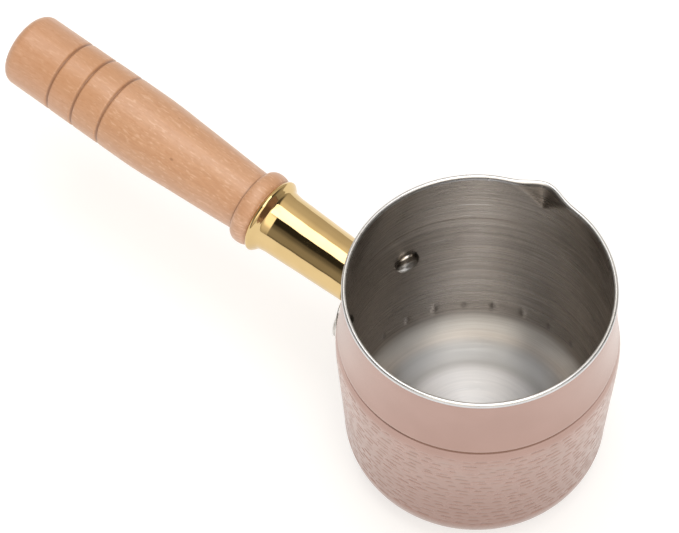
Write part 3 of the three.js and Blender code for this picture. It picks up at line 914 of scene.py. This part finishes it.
def wood_handle():
    """Tenon, collar bead, grip and rounded end, with the bore for the insert."""
    centre = COLLAR_FACE + COLLAR_LENGTH / 2
    bead_rise = COLLAR_RADIUS - GRIP_NECK_RADIUS
    bead = [(TENON_RADIUS + 0.2, COLLAR_FACE), (BEAD_FACE_RADIUS, COLLAR_FACE)]
    bead += [(BEAD_FACE_RADIUS + 0.35, COLLAR_FACE + 0.08)]
    bead += [
        (GRIP_NECK_RADIUS + bead_rise * math.cos(a) ** 0.62, centre + (COLLAR_LENGTH / 2) * math.sin(a))
        for a in np.radians(np.linspace(-70, 84, 34))
    ]
    bead += [(GRIP_NECK_RADIUS - BEAD_NOTCH, COLLAR_FACE + COLLAR_LENGTH + NOTCH_GAP)]
    end_radii = (END_ROUNDING, END_ROUNDING - END_DOME)
    end = arc((GRIP_END_RADIUS - END_ROUNDING, HANDLE_END - END_ROUNDING), end_radii, 0, 82, 18)[1:]
    edge = end[-1]
    rise = HANDLE_END - 0.03 - edge[1]
    left = 1 - np.linspace(0, 1, 12)[1:]
    dome = [(edge[0] * share, edge[1] + rise * (1 - share**1.1)) for share in left]
    bore_end = TENON_START + HANDLE_BORE_DEPTH + SCREW_ROOM
    recess_end = TENON_START + RECESS_DEPTH
    profile = (
        [(0, bore_end), (HANDLE_BORE, bore_end), (HANDLE_BORE, recess_end)]
        + [(RECESS_RADIUS, recess_end), (RECESS_RADIUS, TENON_START)]
        + [(TENON_RADIUS - 0.4, TENON_START), (TENON_RADIUS, TENON_START + 0.4)]
        + [(TENON_RADIUS, COLLAR_FACE)]
        + bead
        + grip_side()
        + end
        + dome
    )

    def shape(grid):
        """Cuts the three grooves and adds the slight unevenness of turned wood."""
        x, y, along = grid[..., 0], grid[..., 1], grid[..., 2]
        radius = np.hypot(x, y)
        outside = radius > GRIP_NECK_RADIUS - 0.5
        cut = np.zeros_like(radius)
        for distance in GROOVES_FROM_END:
            away = np.abs(along - (HANDLE_END - distance)) / GROOVE_HALF_WIDTH
            cut = np.maximum(cut, GROOVE_DEPTH * np.clip(1 - away, 0, 1) ** 0.8)
        angle = np.arctan2(y, x)
        wave = 0.02 * np.sin(2 * angle + 0.11 * along) + 0.012 * np.sin(3 * angle - 0.23 * along)
        change = np.where(outside, -cut - 0.03 + wave * 0.9, 0)
        return widened(grid, 1 + change / np.maximum(radius, 1))

    return lathe("beech_handle", profile, 144, on_handle, shape)


# ---------------------------------------------------------------- building the pieces


def fitted(obj, slot, *nodes, look=None):
    """Puts a piece on the pot in place of its CAD nodes, with a look if it has none yet."""
    if look:
        obj.data.materials.append(look)
    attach(obj, "root")
    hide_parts(*nodes)


fitted(vessel(), "copper_plated_steel", "vessel")
fitted(bracket(), "bracket_steel", "handle_bracket")
rivet_look = bright_steel("rivet_steel", (0.62, 0.61, 0.59), 0.08, 0.16)
fitted(rivet("rivet_left_piece", 1), "rivet_steel", "rivet_left", look=rivet_look)
fitted(rivet("rivet_right_piece", -1), "rivet_steel", "rivet_right", look=rivet_look)
fitted(ferrule(), "polished_brass", "ferrule", look=polished_brass())
fitted(wood_handle(), "beech", "wood_handle", look=beech())

zinc = bright_steel("zinc_plate", (0.58, 0.585, 0.60), 0.26, 0.4)
insert_brass = polished_brass("insert_brass", 0.25, 0.4)
for node, look in (("handle_screw", zinc), ("lock_washer", zinc), ("threaded_insert", insert_brass)):
    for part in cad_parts[node].material_slots:
        part.material = look

# ---------------------------------------------------------------- camera, floor and light

CAMERA_AZIMUTH = math.radians(34.5)
CAMERA_ELEVATION = math.radians(56.9)
CAMERA_DISTANCE = 1.011
CAMERA_LENS = 185.57
CAMERA_TURN = [math.radians(a) for a in (2.31, -0.24, 2.48)]  # yaw, pitch and roll after aiming at the rim

FLOOR_RADIUS = 1600
FLOOR_HEIGHT = -0.05
FLOOR_RINGS = 12
FLOOR_SEGMENTS = 64


def camera():
    """The photo's camera, which looks down at the rim from in front."""
    rim = Vector((0, 0, HEIGHT * MM))
    level = math.cos(CAMERA_ELEVATION)
    back = Vector(
        (math.sin(CAMERA_AZIMUTH) * level, -math.cos(CAMERA_AZIMUTH) * level, math.sin(CAMERA_ELEVATION))
    )
    right = Vector((math.cos(CAMERA_AZIMUTH), math.sin(CAMERA_AZIMUTH), 0))
    up = right.cross(-back)
    aimed = Matrix((right, -up, -back))
    yaw, pitch, roll = CAMERA_TURN
    turn = Matrix.Rotation(roll, 3, "Z") @ Matrix.Rotation(pitch, 3, "X") @ Matrix.Rotation(yaw, 3, "Y")
    rows = turn @ aimed
    data = bpy.data.cameras.new("camera")
    data.lens = CAMERA_LENS
    data.sensor_width = 36
    data.clip_start, data.clip_end = 0.05, 20
    obj = bpy.data.objects.new("camera", data)
    bpy.context.scene.collection.objects.link(obj)
    axes = Matrix((rows[0], -rows[1], -rows[2])).transposed()
    obj.matrix_world = Matrix.Translation(rim + CAMERA_DISTANCE * back) @ axes.to_4x4()
    bpy.context.scene.camera = obj


def floor():
    """A wide disc of rings just under the pot."""
    vertices = []
    for ring in range(1, FLOOR_RINGS + 1):
        r = FLOOR_RADIUS * ring / FLOOR_RINGS
        for a in np.linspace(0, 2 * np.pi, FLOOR_SEGMENTS, endpoint=False):
            vertices.append((r * math.cos(a), r * math.sin(a), FLOOR_HEIGHT))
    faces = []
    for i in range(FLOOR_RINGS - 1):
        near, far = i * FLOOR_SEGMENTS, (i + 1) * FLOOR_SEGMENTS
        for j in range(FLOOR_SEGMENTS):
            k = (j + 1) % FLOOR_SEGMENTS
            faces.append((near + j, near + k, far + k, far + j))
    faces.append(tuple(reversed(range(FLOOR_SEGMENTS))))
    obj = mesh_object("floor", vertices, faces)
    obj.data.materials.append(sweep_white())


def softbox(name, azimuth, elevation, distance, size, strength):
    """A rectangular area light that looks at the pot from a direction; azimuth 0 is -Y, 90 is +X."""
    a, e = math.radians(azimuth), math.radians(elevation)
    away = Vector((math.sin(a) * math.cos(e), -math.cos(a) * math.cos(e), math.sin(e)))
    data = bpy.data.lights.new(name, "AREA")
    data.shape = "RECTANGLE"
    data.size, data.size_y = size
    data.energy = strength * size[0] * size[1] * math.pi
    obj = bpy.data.objects.new(name, data)
    bpy.context.scene.collection.objects.link(obj)
    obj.location = Vector((0, 0, 0.05)) + distance * away
    obj.rotation_mode = "QUATERNION"
    obj.rotation_quaternion = away.to_track_quat("Z", "Y")


def level_direction(azimuth):
    """Azimuth 0 is -Y and 90 is +X."""
    return (math.sin(math.radians(azimuth)), -math.cos(math.radians(azimuth)), 0)


def surroundings():
    """The room: pale all round, dark at the left and the back right, a bright window behind the camera."""
    world = bpy.data.worlds.new("room")
    bpy.context.scene.world = world
    nodes = Nodes(world)
    direction = nodes.add("TexCoord").outputs["Generated"]
    height = nodes.add("SeparateXYZ", {0: direction}).outputs[2]
    share_up = nodes.math("DIVIDE", nodes.math("ARCSINE", height), math.pi / 2)
    rest = nodes.math("SUBTRACT", 1.0001, nodes.math("MULTIPLY", height, height))  # stays over 0 straight up
    flat = nodes.math("SQRT", rest)

    def by_elevation(*stops):
        """Brightness from (elevation in degrees, brightness) stops."""
        ramp = nodes.add("ValToRGB", {0: share_up})
        ramp.color_ramp.interpolation = "EASE"
        elements = ramp.color_ramp.elements
        while len(elements) < len(stops):
            elements.new(0.5)
        for element, (degrees, bright) in zip(elements, stops):
            element.position = degrees / 90
            element.color = (bright, bright, bright, 1)
        return ramp.outputs[0]

    def towards(azimuth, outer, inner):
        """1 where the level part of a direction is near an azimuth; outer and inner are angles from it."""
        inputs = {0: direction, 1: level_direction(azimuth)}
        facing = nodes.add("VectorMath", inputs, operation="DOT_PRODUCT").outputs["Value"]
        cosine = nodes.math("DIVIDE", facing, flat)
        return nodes.ramp(cosine, math.cos(math.radians(outer)), math.cos(math.radians(inner)))

    pale = by_elevation((0, 0.60), (38, 0.70), (57, 0.98), (68, 1.1))
    dark_left = by_elevation((0, 0.2), (8, 0.34), (23, 0.34), (42, 0.15), (52, 0.03), (70, 0.03), (76, 0.9))
    dark_right = by_elevation((0, 0.5), (15, 0.35), (30, 0.12), (68, 0.05), (80, 0.8))
    window = by_elevation((0, 0.6), (20, 0.9), (38, 1.75), (64, 1.75), (74, 1.1))
    tone = nodes.mix(towards(-48, 62, 36), pale, dark_left)
    tone = nodes.mix(towards(128, 45, 22), tone, dark_right)
    tone = nodes.mix(towards(40, 50, 42), tone, window)
    inputs = {0: 1.0, 6: tone, 7: rgb(1.0, 0.91, 0.78)}
    warm = nodes.add("Mix", inputs, data_type="RGBA", blend_type="MULTIPLY").outputs[2]
    background = nodes.add("Background", {0: warm})
    nodes.add("OutputWorld", {0: background.outputs[0]})


camera()
floor()
surroundings()
softbox("overhead", 180, 87.5, 1.3, (1.5, 0.92), 2.1)
bpy.context.scene.view_settings.view_transform = "Standard"

bpy.context.view_layer.update()
